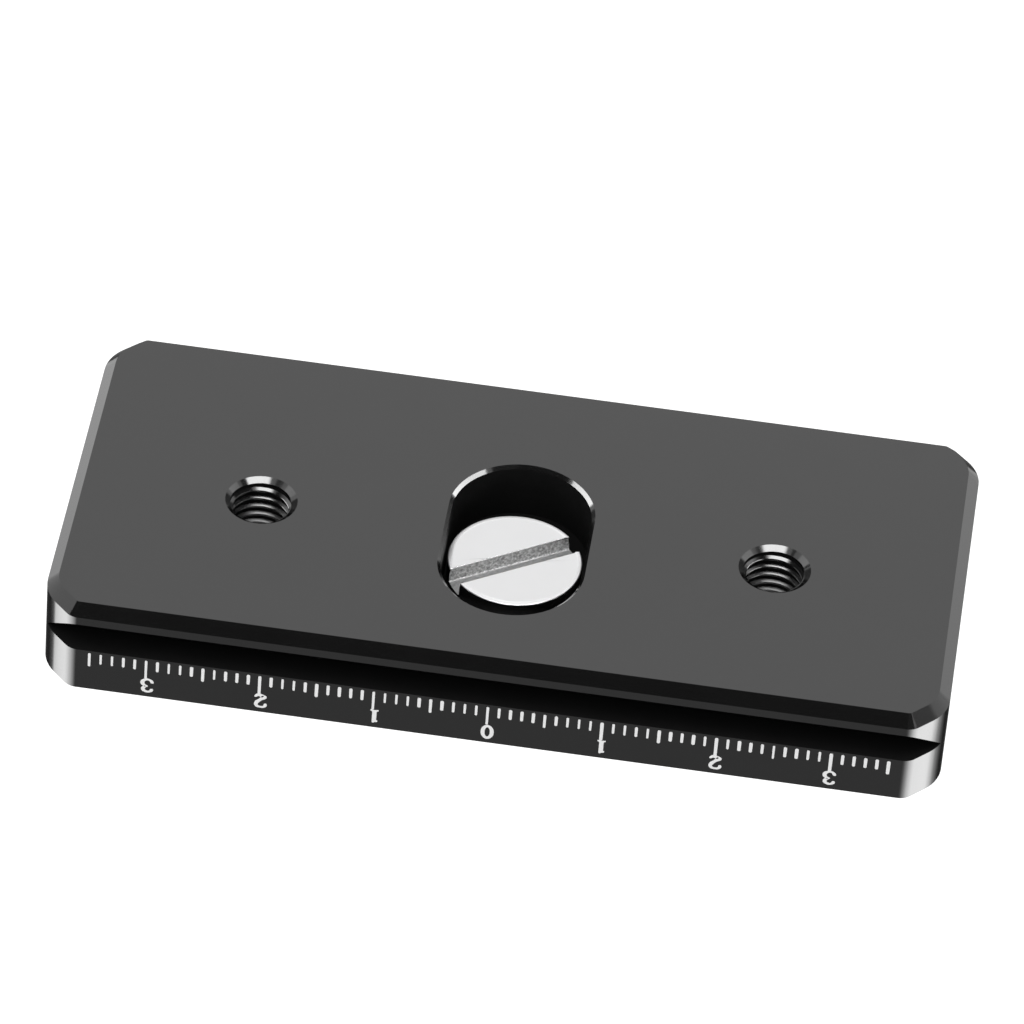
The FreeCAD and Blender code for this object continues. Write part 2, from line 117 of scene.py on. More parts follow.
# %% Finishes
class Finish:
    """One material, or the world, built node by node."""

    def __init__(self, name, world=False):
        self.holder = bpy.data.worlds.new(name) if world else bpy.data.materials.new(name)
        self.holder.use_nodes = True
        self.tree = self.holder.node_tree
        self.tree.nodes.clear()
        kind = "ShaderNodeOutputWorld" if world else "ShaderNodeOutputMaterial"
        self.end = self.tree.nodes.new(kind)

    def node(self, kind, given=None, output=0, stops=None, **settings):
        """Adds a node: its settings first, then values or links for its sockets."""
        made = self.tree.nodes.new(kind)
        for name, value in settings.items():
            setattr(made, name, value)
        if stops:
            ramp = made.color_ramp
            while len(ramp.elements) < len(stops):
                ramp.elements.new(0.5)
            for element, (place, colour) in zip(ramp.elements, stops):
                element.position = place
                element.color = (*colour, 1.0)
        for name, value in (given or {}).items():
            if isinstance(value, Value):
                self.tree.links.new(value.socket, made.inputs[name])
            else:
                made.inputs[name].default_value = value
        return Value(self, made.outputs[output])

    def place(self, centre=(0.0, 0.0, 0.0)):
        """Where a point lies on the piece, counted from a centre."""
        here = self.node("ShaderNodeTexCoord", output=3)
        return self.node("ShaderNodeMapping", {"Vector": here, "Location": -Vector(centre)})

    def part_of(self, vector, axis):
        """The X, Y or Z part of a vector."""
        return self.node("ShaderNodeSeparateXYZ", {"Vector": vector}, output="XYZ".index(axis))

    def noise(self, vector, size_mm, detail=2.0, roughness=0.5):
        """Soft noise whose lumps are about size_mm wide."""
        return self.node("ShaderNodeTexNoise", {
            "Vector": vector, "Scale": 1.0 / (size_mm * MM), "Detail": detail,
            "Roughness": roughness})

    def run(self, value, start, stop, low=0.0, high=1.0):
        """A value that runs from low to high while another goes from start to stop."""
        return self.node("ShaderNodeMapRange", {
            "Value": value, "From Min": start, "From Max": stop, "To Min": low, "To Max": high})

    def blend(self, factor, first, second):
        """One colour turning into another."""
        return self.node("ShaderNodeMix", {0: factor, 6: first, 7: second}, output=2,
                         data_type="RGBA")

    def bump(self, height, depth_mm):
        """Relief of depth_mm where the height goes from 0 to 1."""
        return self.node("ShaderNodeBump", {"Height": height, "Strength": 1.0,
                                            "Distance": depth_mm * MM})

    def ends_in(self, shader):
        """Joins the last shader to the output, and hands over what was made."""
        self.tree.links.new(shader.socket, self.end.inputs["Surface"])
        print("finish", self.holder.name, "has", len(self.tree.nodes), "nodes")
        return self.holder

    def surface(self, **given):
        """Ends the material in one Principled shader. Names use _ for a space."""
        sockets = {name.replace("_", " "): value for name, value in given.items()}
        return self.ends_in(self.node("ShaderNodeBsdfPrincipled", sockets))

    def glow(self, strength):
        """White light of one strength."""
        return self.node("ShaderNodeEmission", {"Color": grey(1.0), "Strength": strength})


def grey(level):
    """A neutral colour with four channels."""
    return (level, level, level, 1.0)


# %% [markdown]
# ## Black anodised aluminium
# The plate is machined, lightly blasted and dyed black, so its faces are even, dark and a little
# glossy. A flat dark colour would do from afar. Close up, the blast leaves a fine grain, the film is
# not quite equally glossy everywhere, and the dye is a touch thinner in patches. The grain is kept
# shallow, since the real faces reflect evenly.

# %% Finish of the plate
FILM_IOR = 1.74
DEEP_DYE = grey(0.0026)
THIN_DYE = grey(0.0042)


def anodised_finish():
    black = Finish("black_anodised")
    spot = black.place()
    grain = black.noise(spot, 0.09, detail=3.0, roughness=0.6)
    cloud = black.noise(spot, 6.0, detail=4.0)
    dye = black.blend(cloud, DEEP_DYE, THIN_DYE)
    return black.surface(Base_Color=dye, Roughness=0.09 + cloud * 0.025 + grain * 0.015,
                         IOR=FILM_IOR, Normal=black.bump(grain, 0.0006))


ANODISED = anodised_finish()

# %% [markdown]
# The cutter's marks stay in the recess, the bores and the side grooves, where the blast hardly
# reaches, so those faces are matt. A thread starts as glossy as the plate and grows duller with depth.
# Both could be painted as masks over one finish, but two finishes of their own are easier to read.

# %% Finishes of the hidden faces and the threads
THREAD_BRIGHT = -1.2
THREAD_DULL = -4.8


def dull_finish():
    dull = Finish("dull_anodised")
    spot = dull.place()
    grain = dull.noise(spot, 0.14, detail=4.0, roughness=0.6)
    dye = dull.blend(dull.noise(spot, 3.0), grey(0.0045), grey(0.0065))
    return dull.surface(Base_Color=dye, Roughness=0.45 + grain * 0.15, IOR=1.2,
                        Normal=dull.bump(grain, 0.004))


def thread_finish():
    cut = Finish("thread_anodised")
    spot = cut.place()
    grain = cut.noise(spot, 0.09, detail=3.0, roughness=0.6)
    depth = cut.run(cut.part_of(spot, "Z"), THREAD_BRIGHT * MM, THREAD_DULL * MM, high=0.27)
    dye = cut.blend(grain, DEEP_DYE, THIN_DYE)
    return cut.surface(Base_Color=dye, Roughness=0.11 + depth + grain * 0.015, IOR=FILM_IOR,
                       Normal=cut.bump(grain, 0.0006))


DULL = dull_finish()
THREAD = thread_finish()

# %% [markdown]
# ## Bright steel for the screw
# The head was turned on a lathe and plated, so it carries very fine rings round its middle. A plain
# metal with a brushed normal map would need an image. Rings drawn from the distance to the screw's own
# axis follow the shape and cost two nodes. The head's rim was tumbled, so it is softer than its face.

# %% Finish of the screw
SCREW_AXIS = (SCREW_LOW + SCREW_HIGH) / 2 * MM
SCREW_AXIS.z = 0
HEAD_TOP = SCREW_HIGH.z
HEAD_RADIUS = (SCREW_HIGH.x - SCREW_LOW.x) / 2
CROWN = 5.5


def steel_finish():
    steel = Finish("bright_steel")
    spot = steel.place(centre=SCREW_AXIS)
    flat = steel.node("ShaderNodeVectorMath", {0: spot, 1: (1.0, 1.0, 0.0)}, operation="MULTIPLY")
    radius = steel.node("ShaderNodeVectorMath", {0: flat}, output=1, operation="LENGTH")
    rings = steel.node("ShaderNodeTexNoise", {
        "W": radius, "Scale": 1.0 / (0.05 * MM), "Detail": 2.0}, noise_dimensions="1D")
    cloud = steel.noise(spot, 1.6, detail=3.0)
    plating = steel.blend(cloud, (0.7535, 0.7535, 0.7585, 1.0), (0.765, 0.765, 0.77, 1.0))
    outward = steel.run(radius, CROWN * MM, (HEAD_RADIUS - 0.05) * MM)
    upward = steel.run(steel.part_of(spot, "Z"), (HEAD_TOP - 0.2) * MM, (HEAD_TOP - 0.1) * MM)
    tumbled = outward * upward
    return steel.surface(Base_Color=plating, Metallic=1.0, Normal=steel.bump(rings, 0.0002),
                         Roughness=0.14 + cloud * 0.05 + tumbled * 0.18)


STEEL = steel_finish()

# %% [markdown]
# The milled slot in the head shows the cutter's coarser, speckled trace, so it gets a duller metal
# with a lumpy relief. Its floor is painted darker, as painted shade at the bottom of the slot.

# %% Finish of the slot
SLOT_DEPTH = 1.45


def milled_finish():
    milled = Finish("milled_steel")
    spot = milled.place()
    speck = milled.noise(spot, 0.24, detail=4.0, roughness=0.6)
    floor = HEAD_TOP - SLOT_DEPTH
    # painted shade: the colour darkens over the lowest 0.07 mm, on the slot's floor
    painted_floor_shade = milled.run(milled.part_of(spot, "Z"), (floor + 0.01) * MM, (floor + 0.07) * MM, low=0.15)
    shade = milled.blend(milled.run(speck, 0.3, 0.7) * painted_floor_shade, grey(0.22), grey(1.0))
    return milled.surface(Base_Color=shade, Metallic=0.45, Roughness=0.38 + speck * 0.15,
                          Normal=milled.bump(speck, 0.03))


MILLED = milled_finish()

# %% [markdown]
# The last three finishes are plainer. The retaining ring is spring steel, blackened in a bath that
# leaves it a little patchy. The strips are soft rubber with a matt, grainy skin. The scale's paint is
# white, uneven where it was wiped into its grooves.

# %% Finishes of the ring, the strips and the scale
def spring_finish():
    spring = Finish("blackened_spring_steel")
    speck = spring.noise(spring.place(), 0.3, detail=4.0)
    shade = spring.blend(speck, grey(0.05), grey(0.13))
    return spring.surface(Base_Color=shade, Metallic=1.0, Roughness=0.33 + speck * 0.2,
                          Normal=spring.bump(speck, 0.004))


def rubber_finish():
    rubber = Finish("grip_rubber")
    spot = rubber.place()
    grain = rubber.noise(spot, 0.12, detail=5.0, roughness=0.7)
    shade = rubber.blend(rubber.noise(spot, 4.0), grey(0.016), grey(0.028))
    return rubber.surface(Base_Color=shade, Roughness=0.62 + grain * 0.2,
                          Normal=rubber.bump(grain, 0.02))


def paint_finish():
    paint = Finish("scale_paint")
    grain = paint.noise(paint.place(), 0.12, detail=3.0)
    shade = paint.blend(grain, grey(0.83), grey(0.96))
    return paint.surface(Base_Color=shade, Roughness=0.5, Normal=paint.bump(grain, 0.004))


SPRING = spring_finish()
RUBBER = rubber_finish()
PAINT = paint_finish()

# %% [markdown]
# ## From a mesh in memory to a piece
# A piece can be built as a bmesh, an editable mesh in memory, and then handed over as an object. The
# alternative is to call the editor's own commands, but those depend on what is selected. The first
# helper hands over a finished bmesh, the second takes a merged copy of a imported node, and the third
# measures what was made.

# %% Making and measuring a piece
def as_piece(name, shape, body, material, stands_for=()):
    """Makes a finished bmesh an object that rides on one body of the part."""
    mesh = bpy.data.meshes.new(name)
    shape.to_mesh(mesh)
    shape.free()
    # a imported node's own normals belong to its loose triangles, not to a merged copy
    packed_normals = mesh.attributes.get("custom_normal")
    if packed_normals:
        mesh.attributes.remove(packed_normals)
    piece = bpy.data.objects.new(name, mesh)
    bpy.context.scene.collection.objects.link(piece)
    mesh.materials.append(material)
    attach(piece, body)
    if stands_for:
        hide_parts(*stands_for)
    return piece


def copy_of(node):
    """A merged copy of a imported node's loose triangles, its flat faces joined into larger ones."""
    shape = bmesh.new()
    shape.from_mesh(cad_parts[node].data)
    bmesh.ops.remove_doubles(shape, verts=shape.verts, dist=0.0005 * MM)
    bmesh.ops.dissolve_limit(shape, angle_limit=math.radians(0.2), verts=shape.verts,
                             edges=shape.edges)
    return shape


def report(piece):
    """Prints a piece's triangles, open edges and box in mm."""
    shape = bmesh.new()
    shape.from_mesh(piece.data)
    open_edges = sum(1 for e in shape.edges if len(e.link_faces) != 2)
    triangles = sum(len(f.verts) - 2 for f in shape.faces)
    spans = [(min(v.co[i] for v in shape.verts), max(v.co[i] for v in shape.verts)) for i in range(3)]
    box = ["%.2f..%.2f" % (low / MM, high / MM) for low, high in spans]
    print("%-18s %6d triangles, %d open edges, box %s" % (piece.name, triangles, open_edges, box))
    shape.free()


# %% [markdown]
# Shading decides how light runs over a piece. Smooth shading blends it across every edge, and flat
# shading across none. Gentle curves are smooth here, and every sharper edge stays crisp. A large level
# face is also kept apart from what it meets, because even a small bevel would tilt the light on it.

# %% Smooth curves and crisp flats
def smooth_by_angle(piece, degrees=25):
    """Smooth shading over gentle curves, with every sharper edge kept crisp."""
    piece.data.shade_smooth()
    piece.data.set_sharp_from_angle(angle=math.radians(degrees))


def crisp_flats(piece):
    """Marks the edges round the level faces sharp."""
    shape = bmesh.new()
    shape.from_mesh(piece.data)
    marked = 0
    for edge in shape.edges:
        level = [abs(face.normal.z) > 0.99999 for face in edge.link_faces]
        if any(level) and not all(level):
            edge.smooth = False
            marked += 1
    shape.to_mesh(piece.data)
    shape.free()
    print(piece.name, "edges round level faces:", marked)


# %% [markdown]
# ## The plate
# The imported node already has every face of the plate, but as loose triangles. They could be shown as
# they are; a merged copy shades better, since its curved corners can be smooth while its machined
# edges stay crisp. Faces inside the recess, in the two bores and on the ledges take the matt finish.

# %% Plate
LEDGE = -4.7
HOLES = (Vector((-22.8, -1.6)), Vector((22.8, -1.6)))
BORE = 2.775
BELOW_MOUTHS = -0.35
ABOVE_CAMERA_FACE = PLATE_LOW.z + 0.4


def out_of_reach(face):
    """Whether a face lies in the recess, in a bore or on a ledge."""
    x, y, z = face.center / MM
    inside = ABOVE_CAMERA_FACE < z < BELOW_MOUTHS
    in_recess = inside and abs(x) < 6.3 and abs(y) < 10.5
    in_bore = inside and any((Vector((x, y)) - hole).length < BORE + 0.025 for hole in HOLES)
    on_ledge = abs(z - LEDGE) < 0.05 and face.normal.z > 0.9
    return in_recess or in_bore or on_ledge


plate = as_piece("plate_block", copy_of("plate"), "plate_body", ANODISED, ("plate",))
plate.data.materials.append(DULL)
smooth_by_angle(plate)
crisp_flats(plate)
for face in plate.data.polygons:
    face.material_index = int(out_of_reach(face))
print("faces in the matt finish:", sum(face.material_index for face in plate.data.polygons))
report(plate)

# %% [markdown]
# ## The threads
# A thread could be faked with bump, but its crests show plainly in the holes. A thread is a ridge that
# climbs round an axis: its profile is spun and lifted a little at each step. The ridge starts beyond
# both ends and is then cut by a turned solid, which leaves the run-out that a countersink gives.

# %% One ridge
STEPS = 56


def line_through(shape, centre, profile, ring=False):
    """Points joined by edges: (radius, height) pairs in mm, set out along X from centre."""
    points = [shape.verts.new(centre + Vector((r, 0, z)) * MM) for r, z in profile]
    ends = points[1:] + points[:1] if ring else points[1:]
    lines = [shape.edges.new(pair) for pair in zip(points, ends)]
    return points + lines


def ridge(profile, pitch, turns, centre, top):
    """A climbing ridge: a closed profile spun with a lift, from the height top down."""
    shape = bmesh.new()
    line = line_through(shape, centre + Vector((0, 0, top)) * MM, profile, ring=True)
    lift = Vector((0, 0, -pitch / STEPS)) * MM
    bmesh.ops.spin(shape, geom=line, cent=centre, axis=(0, 0, 1), angle=-2 * math.pi * turns,
                   steps=STEPS * turns, dvec=lift)
    bmesh.ops.remove_doubles(shape, verts=shape.verts, dist=0.001 * MM)
    bmesh.ops.holes_fill(shape, edges=[e for e in shape.edges if e.is_boundary])
    bmesh.ops.recalc_face_normals(shape, faces=shape.faces)
    return shape


# %% [markdown]
# Turning works as on a lathe: a profile goes once round its axis, and its two ends meet. Cutting takes
# one closed piece from another, or keeps only what they share. It is a modifier in Blender, so its
# result is made the piece's own mesh at once.

# %% Turning and cutting
def turned(profile, centre, ring=False, segments=96):
    """A closed turned solid: a profile spun right round a vertical axis at centre."""
    shape = bmesh.new()
    line = line_through(shape, centre, profile, ring)
    bmesh.ops.spin(shape, geom=line, cent=centre, axis=(0, 0, 1), angle=2 * math.pi,
                   steps=segments, use_merge=True)
    bmesh.ops.remove_doubles(shape, verts=shape.verts, dist=0.001 * MM)
    bmesh.ops.recalc_face_normals(shape, faces=shape.faces)
    return shape


def loose_tool(shape):
    """A bmesh as a plain object, for carving only."""
    mesh = bpy.data.meshes.new("tool")
    shape.to_mesh(mesh)
    shape.free()
    tool = bpy.data.objects.new("tool", mesh)
    bpy.context.scene.collection.objects.link(tool)
    return tool


def carve(piece, tool, how="DIFFERENCE"):
    """Cuts one closed piece with another, which is used up."""
    cut = piece.modifiers.new("carve", "BOOLEAN")
    cut.operation = how
    cut.solver = "EXACT"
    cut.object = tool
    bpy.context.view_layer.update()
    graph = bpy.context.evaluated_depsgraph_get()
    made = bpy.data.meshes.new_from_object(piece.evaluated_get(graph))
    piece.modifiers.clear()
    piece.data = made
    bpy.data.objects.remove(tool)


# %% [markdown]
# The holes' thread stands inwards from the bore. Its flanks lean 30 degrees, as on every thread of this
# family, its crest is a little round, and the photograph's crests lie 0.91 mm apart. The countersink
# eats into the first turn and leaves it a blunt start. The flanks are shaded flat, as a cutter
# leaves them.

# %% Threads of the two holes
HOLE_PITCH = 0.91
CREST = 2.45
CREST_ROUND = 0.1
FOOT = BORE + 0.06
THREAD_TOP = 0.43
MOUTH = 3.2
FIRST_TURN = 2.68
SINK_SLOPE = math.tan(math.radians(35))


def hole_rib():
    """Half the crest's arc above, half below, then out to the foot along both flanks."""
    lean = math.tan(math.radians(30))
    arc = [(CREST + CREST_ROUND * (1 - math.cos(a)), CREST_ROUND * math.sin(a))
           for a in (math.radians(d) for d in (60, 36, 12, -12, -36, -60))]
    reach = arc[0][1] + (FOOT - arc[0][0]) * lean
    return [(FOOT, reach)] + arc + [(FOOT, -reach)]


def thread_room():
    """The profile of the sleeve between the two countersinks, where thread may stand."""
    inside, outside = CREST - 0.2, FOOT + 0.1
    low = PLATE_LOW.z + MOUTH - BORE
    return [(inside, -0.62), (FIRST_TURN - 0.05, -0.62),
            (FIRST_TURN, -(MOUTH - FIRST_TURN) * SINK_SLOPE),
            (outside, -(MOUTH - outside) * SINK_SLOPE), (outside, low + 0.1),
            (inside, low + BORE - inside)]


for name, hole in zip(("thread_left", "thread_right"), HOLES):
    centre = Vector((*hole, 0)) * MM
    thread = as_piece(name, ridge(hole_rib(), HOLE_PITCH, 11, centre, THREAD_TOP), "plate_body",
                      THREAD)
    carve(thread, loose_tool(turned(thread_room(), centre, ring=True)), "INTERSECT")
    smooth_by_angle(thread, 10)
    report(thread)

# %% [markdown]
# ## The camera screw
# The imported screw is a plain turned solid. The real one has a head whose face falls away by a few
# degrees at its rim, a coin slot with broken edges, a groove for its ring and a quarter inch thread.
# It is turned from one profile, its slot is cut by a block, and its thread is a second ridge, this
# time outwards.

# %% Screw head and shaft
HEAD_LOW = HEAD_TOP - 3.0
HEAD_FALL = math.tan(math.radians(5))
RIM = 0.1
LOW_ROUND = 0.12
SHAFT = 3.175
ROOT = 2.5
TIP = SCREW_LOW.z
GROOVE_TOP = RING_HIGH.z + 0.05
GROOVE_LOW = RING_LOW.z - 0.05


def rounded(cx, cz, radius, start, stop, steps):
    """Points on an arc, angles in degrees."""
    turn = [math.radians(start + (stop - start) * i / steps) for i in range(steps + 1)]
    return [(cx + radius * math.cos(a), cz + radius * math.sin(a)) for a in turn]


def screw_profile():
    """From the middle of the head, over its rim and down the shaft, and then turned round."""
    bands = [CROWN, CROWN + 0.03, HEAD_RADIUS - RIM - 0.03, HEAD_RADIUS - RIM]
    points = [(0.0, HEAD_TOP), (2.5, HEAD_TOP), (CROWN - 0.03, HEAD_TOP)]
    points += [(r, HEAD_TOP - (r - CROWN) * HEAD_FALL) for r in bands]
    points += rounded(HEAD_RADIUS - RIM, points[-1][1] - RIM, RIM, 78, 0, 5)
    points += rounded(HEAD_RADIUS - LOW_ROUND, HEAD_LOW + LOW_ROUND, LOW_ROUND, 0, -90, 3)
    points += [(SHAFT, HEAD_LOW), (SHAFT, GROOVE_TOP), (ROOT, GROOVE_TOP), (ROOT, GROOVE_LOW),
               (SHAFT, GROOVE_LOW), (SHAFT, GROOVE_LOW - 0.15), (ROOT, GROOVE_LOW - 0.55),
               (ROOT, TIP + 0.1), (ROOT - 0.15, TIP), (0.0, TIP)]
    return points[::-1]


screw = as_piece("screw_body_bright", turned(screw_profile(), SCREW_AXIS), "screw_body", STEEL,
                 ("camera_screw",))
report(screw)

# %% [markdown]
# The slot is cut right across at 33 degrees to the plate. Its walls and floor take the milled finish:
# the cutting block carries that finish, and the cut hands it on. The cutter's worn corners leave a
# small hollow where wall and floor meet.

# %% Coin slot
SLOT_WIDTH = 2.0
SLOT_TURN = math.radians(33)


def slot_block():
    shape = bmesh.new()
    bmesh.ops.create_cube(shape, size=1.0)
    bmesh.ops.scale(shape, vec=Vector((14.0, SLOT_WIDTH, 2 * SLOT_DEPTH)) * MM, verts=shape.verts)
    corners = [e for e in shape.edges if abs(e.verts[0].co.x - e.verts[1].co.x) > 10 * MM
               and e.verts[0].co.z < 0]
    bmesh.ops.bevel(shape, geom=corners, affect="EDGES", offset=0.2 * MM, segments=4, profile=0.5,
                    material=-1, offset_type="OFFSET")
    bmesh.ops.rotate(shape, cent=(0, 0, 0), matrix=Matrix.Rotation(SLOT_TURN, 3, "Z"),
                     verts=shape.verts)
    bmesh.ops.translate(shape, vec=SCREW_AXIS + Vector((0, 0, HEAD_TOP)) * MM, verts=shape.verts)
    return shape


block = loose_tool(slot_block())
block.data.materials.append(MILLED)
screw.data.materials.append(MILLED)
carve(screw, block)
report(screw)

# %% [markdown]
# A narrow rounding breaks the slot's upper edges, and it catches the light. Those edges are found by
# what they join: a face of bright steel on one side and a milled wall on the other. The rounding is as
# bright as the head.

# %% The slot's lips
def lips_of(shape):
    """The edges where the head's face meets the slot's walls."""
    across = Matrix.Rotation(-SLOT_TURN, 3, "Z")
    found = []
    for edge in shape.edges:
        ends = [across @ (v.co - SCREW_AXIS) for v in edge.verts]
        on_wall = all(abs(abs(p.y) - SLOT_WIDTH / 2 * MM) < 0.002 * MM for p in ends)
        above_floor = all(p.z > (HEAD_TOP - SLOT_DEPTH + 0.3) * MM for p in ends)
        two_finishes = len({f.material_index for f in edge.link_faces}) == 2
        if on_wall and above_floor and two_finishes:
            found.append(edge)
    return found


shape = bmesh.new()
shape.from_mesh(screw.data)
lips = lips_of(shape)
print("slot lips bevelled:", len(lips))
broken = bmesh.ops.bevel(shape, geom=lips, affect="EDGES", offset=0.11 * MM, segments=4,
                         profile=0.5, material=-1, offset_type="OFFSET")
for face in broken["faces"]:
    face.material_index = 0
shape.to_mesh(screw.data)
shape.free()
smooth_by_angle(screw, 30)
crisp_flats(screw)
report(screw)

# %% [markdown]
# The screw's thread has the true pitch of a quarter inch camera thread, 20 to the inch.

# %% Thread of the screw
SCREW_PITCH = 1.27


def screw_rib():
    """A thread's profile with a flat crest and flanks that lean 30 degrees."""
    foot, crest, half = ROOT - 0.05, SHAFT, 0.08
    flank = (crest - foot) * math.tan(math.radians(30))
    return [(foot, half + flank), (crest, half), (crest, -half), (foot, -half - flank)]


inside = ROOT - 0.2
top = GROOVE_LOW - 0.2
thread_sleeve = [(inside, top), (SHAFT - 0.1, top), (SHAFT + 0.1, top - 0.2),
                 (SHAFT + 0.1, TIP + 0.9), (ROOT - 0.02, TIP + 0.13), (inside, TIP + 0.05)]
screw_thread = as_piece("screw_thread", ridge(screw_rib(), SCREW_PITCH, 6, SCREW_AXIS,
                                              GROOVE_LOW + 0.3), "screw_body", STEEL)
carve(screw_thread, loose_tool(turned(thread_sleeve, SCREW_AXIS, ring=True)), "INTERSECT")
smooth_by_angle(screw_thread, 20)
report(screw_thread)

# %% [markdown]
# ## The retaining ring
# The ring is stamped from sheet, so its edges are a little rounded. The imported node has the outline;
# a small bevel on a merged copy rounds it.

# %% Retaining ring
shape = copy_of("screw_clip")
sharp = [e for e in shape.edges if e.calc_face_angle(0.0) > math.radians(40)]
bmesh.ops.bevel(shape, geom=sharp, affect="EDGES", offset=0.07 * MM, segments=2, profile=0.5,
                material=-1, offset_type="OFFSET", clamp_overlap=True)
ring = as_piece("retaining_ring", shape, "ring_body", SPRING, ("screw_clip",))
smooth_by_angle(ring, 35)
report(ring)

# %% [markdown]
# ## The grip strips
# Under the camera lies a rubber strip on each side. Real ones are moulded with cross ribs, so that
# they bite without being soft. Bars of a V section, set side by side, cut the grooves between ribs.

# %% Grip strips
RIB_PITCH = 1.3
RIB_DEPTH = 0.18
RIB_GROOVES = 47


def rib_cutter(middle):
    """A row of four-sided bars across a strip, whose edges reach into its lower face."""
    shape = bmesh.new()
    for i in range(RIB_GROOVES):
        x = (i - (RIB_GROOVES - 1) / 2) * RIB_PITCH
        made = bmesh.ops.create_cone(shape, cap_ends=True, segments=4, radius1=RIB_DEPTH * MM * 1.4,
                                     radius2=RIB_DEPTH * MM * 1.4, depth=6 * MM)
        bmesh.ops.rotate(shape, cent=(0, 0, 0), matrix=Matrix.Rotation(math.pi / 2, 3, "X"),
                         verts=made["verts"])
        bmesh.ops.translate(shape, vec=Vector((x, middle.y, middle.z)) * MM, verts=made["verts"])
    return shape


for label in ("front", "rear"):
    low, high = box_mm("grip_strip_" + label)
    strip = as_piece("strip_" + label, copy_of("grip_strip_" + label), "plate_body", RUBBER,
                     ("grip_strip_" + label,))
    carve(strip, loose_tool(rib_cutter(Vector((0, (low.y + high.y) / 2, low.z - 0.06)))))
    smooth_by_angle(strip, 35)
    report(strip)

# %% [markdown]
# ## The scale
# White paint fills the engraved ticks, one a millimetre, longer at each half and whole centimetre,
# with plain numbers counting out from the middle. The paint could be a pattern in the plate's finish;
# as thin pieces it keeps true edges at any distance. Each tick is a rounded bar of its own width, since
# wiped-in paint fills some grooves more than others.

# %% Ticks
SCALE_FACE = PLATE_LOW.y
PAINT_PROUD = 0.004
PAINT_THICK = 0.06
TICK_TOP = -4.95
TICK_WIDTH = 0.26
random.seed(7)


def rounded_bar(shape, x, top, low, width):
    """A flat bar with round ends, standing on the scale face."""
    verts = bmesh.ops.create_circle(shape, cap_ends=True, radius=width / 2 * MM, segments=16)["verts"]
    middle = (top - low - width) / 2
    for vert in verts:
        vert.co.y += math.copysign(middle, vert.co.y) * MM
    bmesh.ops.rotate(shape, cent=(0, 0, 0), matrix=Matrix.Rotation(math.pi / 2, 3, "X"), verts=verts)
    bmesh.ops.translate(shape, vec=Vector((x, SCALE_FACE - PAINT_PROUD, (top + low) / 2)) * MM,
                        verts=verts)


def tick_length(x):
    if x % 10 == 0:
        return 2.1
    return 1.55 if x % 5 == 0 else 1.15


def scale_ticks():
    """All 71 ticks, drawn flat and then pushed back into their grooves."""
    shape = bmesh.new()
    for x in range(-35, 36):
        width = TICK_WIDTH * random.uniform(0.76, 1.26)
        low = TICK_TOP - tick_length(x) * random.uniform(0.98, 1.02)
        rounded_bar(shape, x, TICK_TOP + random.uniform(-0.02, 0.02), low, width)
    made = bmesh.ops.extrude_face_region(shape, geom=list(shape.faces))
    verts = [g for g in made["geom"] if isinstance(g, bmesh.types.BMVert)]
    bmesh.ops.translate(shape, vec=Vector((0, PAINT_THICK, 0)) * MM, verts=verts)
    bmesh.ops.recalc_face_normals(shape, faces=shape.faces)
    return shape


ticks = as_piece("scale_ticks", scale_ticks(), "plate_body", PAINT)
report(ticks)

# %% [markdown]
# A number is drawn as a pen draws it: a line through a few points, each with the pen's width there.
# Both sides of that stroke become one closed outline. The 1 has square ends, so its outline is given
# straight away, and the 0 is one oval inside another.

# %% Outlines of the numbers
STROKES = {
    "2": [(-0.42, 1.22, 0.13), (-0.34, 1.45, 0.11), (0.0, 1.56, 0.09), (0.36, 1.40, 0.13),
          (0.36, 1.08, 0.15), (0.05, 0.68, 0.12), (-0.38, 0.24, 0.13), (-0.14, 0.20, 0.15),
          (0.22, 0.10, 0.13), (0.47, 0.30, 0.09)],
    "3": [(-0.40, 1.30, 0.13), (-0.20, 1.53, 0.09), (0.14, 1.53, 0.11), (0.36, 1.28, 0.15),
          (0.20, 0.98, 0.10), (0.02, 0.90, 0.08), (0.26, 0.80, 0.12), (0.42, 0.46, 0.16),
          (0.18, 0.12, 0.11), (-0.18, 0.10, 0.09), (-0.44, 0.38, 0.12)],
}
ONE = [(-0.35, 0.0), (0.0, 0.04), (0.35, 0.0), (0.36, 0.13), (0.22, 0.2), (0.19, 0.3), (0.19, 1.42),
       (0.14, 1.5), (0.04, 1.5), (-0.04, 1.43), (-0.28, 1.38), (-0.3, 1.22), (-0.19, 1.18),
       (-0.19, 0.3), (-0.22, 0.2), (-0.36, 0.13)]
PEN = 1.12
SQUASH = 0.93


def direction(start, end):
    return Vector((end[0] - start[0], end[1] - start[1])).normalized()


def stroke_outline(stroke):
    """Both sides of a pen stroke and its two ends, as one ring of points."""
    points = [(x, y * SQUASH, half) for x, y, half in stroke]
    left, right = [], []
    for i, (x, y, half) in enumerate(points):
        along = direction(points[max(i - 1, 0)], points[min(i + 1, len(points) - 1)])
        side = Vector((-along.y, along.x)) * half * PEN
        left.append((x + side.x, y + side.y))
        right.append((x - side.x, y - side.y))
    caps = []
    for tip, before in ((points[0], points[1]), (points[-1], points[-2])):
        way = direction(before, tip)
        caps.append((tip[0] + way.x * tip[2], tip[1] + way.y * tip[2]))
    return left + [caps[1]] + right[::-1] + [caps[0]]


def oval(width, height, middle):
    return [(width * math.cos(math.radians(a)), middle + height * math.sin(math.radians(a)))
            for a in range(0, 360, 45)]


def rings_of(digit):
    """The rings of a number's outline, and how they bend at each point."""
    if digit == "0":
        return [oval(0.56, 0.80, 0.81), oval(0.22, 0.53, 0.81)], "AUTO"
    if digit == "1":
        return [ONE], "VECTOR"
    return [stroke_outline(STROKES[digit])], "AUTO"


for digit in "0123":
    print("number", digit, "has", [len(ring_points) for ring_points in rings_of(digit)[0]], "points")

